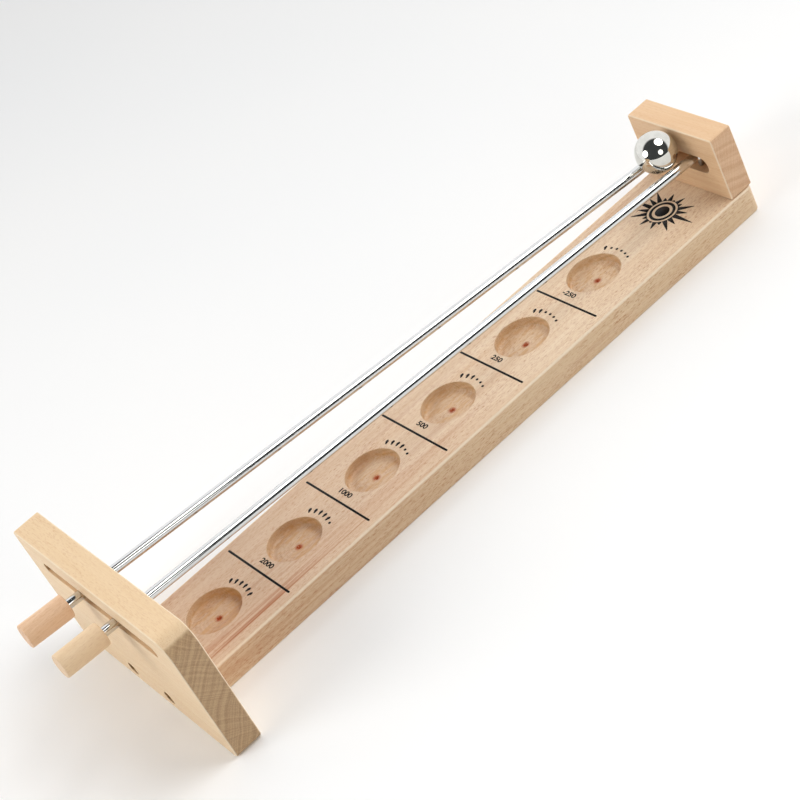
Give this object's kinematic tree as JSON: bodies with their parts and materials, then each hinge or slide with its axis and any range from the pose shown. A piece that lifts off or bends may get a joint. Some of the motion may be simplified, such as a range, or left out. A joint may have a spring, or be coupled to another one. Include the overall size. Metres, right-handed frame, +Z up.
{
  "type": "rod and ball skill game",
  "caption": "Wooden table game: a steel ball rolls up two rods that swing apart to drop it into scoring pockets in a long board.",
  "frame": {"origin": "bottom centre of the whole game, on the table it stands on", "axes": "+Z up; +Y along the board from the player's handles to the rear block; +X to the player's right"},
  "size_m": [0.1784, 0.5288, 0.095],
  "materials": {
    "board_beech": "satin lacquered beech with fine lengthwise grain",
    "plate_beech": "satin lacquered beech with small ray flecks",
    "block_beech": "satin lacquered beech",
    "handle_beech_pink": "satin lacquered dowel, pinkish",
    "handle_beech_pale": "satin lacquered dowel, pale",
    "chromed_rod": "bright drawn steel rod",
    "polished_ball": "mirror polished steel",
    "plain_steel": "plain zinc plated steel",
    "print_ink": "black screen printed ink on the wood"
  },
  "bodies": {
    "base": {"base_board": "board_beech", "front_plate": "plate_beech", "rear_block": "block_beech", "pivot_pin_left": "plain_steel", "pivot_pin_right": "plain_steel", "plate_screw_left": "plain_steel", "plate_screw_right": "plain_steel", "block_screw_left": "plain_steel", "block_screw_right": "plain_steel"},
    "rod_left_body": {"rod_left": "chromed_rod", "handle_left": "handle_beech_pink"},
    "rod_right_body": {"rod_right": "chromed_rod", "handle_right": "handle_beech_pale"},
    "ball_body": {"ball": "polished_ball"}
  },
  "joints": [
    {"name": "rod_left_swing", "type": "hinge", "parent": "base", "child": "rod_left_body", "pos_m": [-0.0124, 0.25242, 0.0448], "axis": [0, 0, -1], "range_deg": [-1.45, 4.9]},
    {"name": "rod_right_swing", "type": "hinge", "parent": "base", "child": "rod_right_body", "pos_m": [0.0124, 0.25242, 0.0448], "axis": [0, 0, 1], "range_deg": [-1.45, 4.9]},
    {"name": "ball_roll", "type": "slide", "parent": "base", "child": "ball_body", "axis": [0, -0.9972, 0.0751], "range_m": [0, 0.42]}
  ]
}
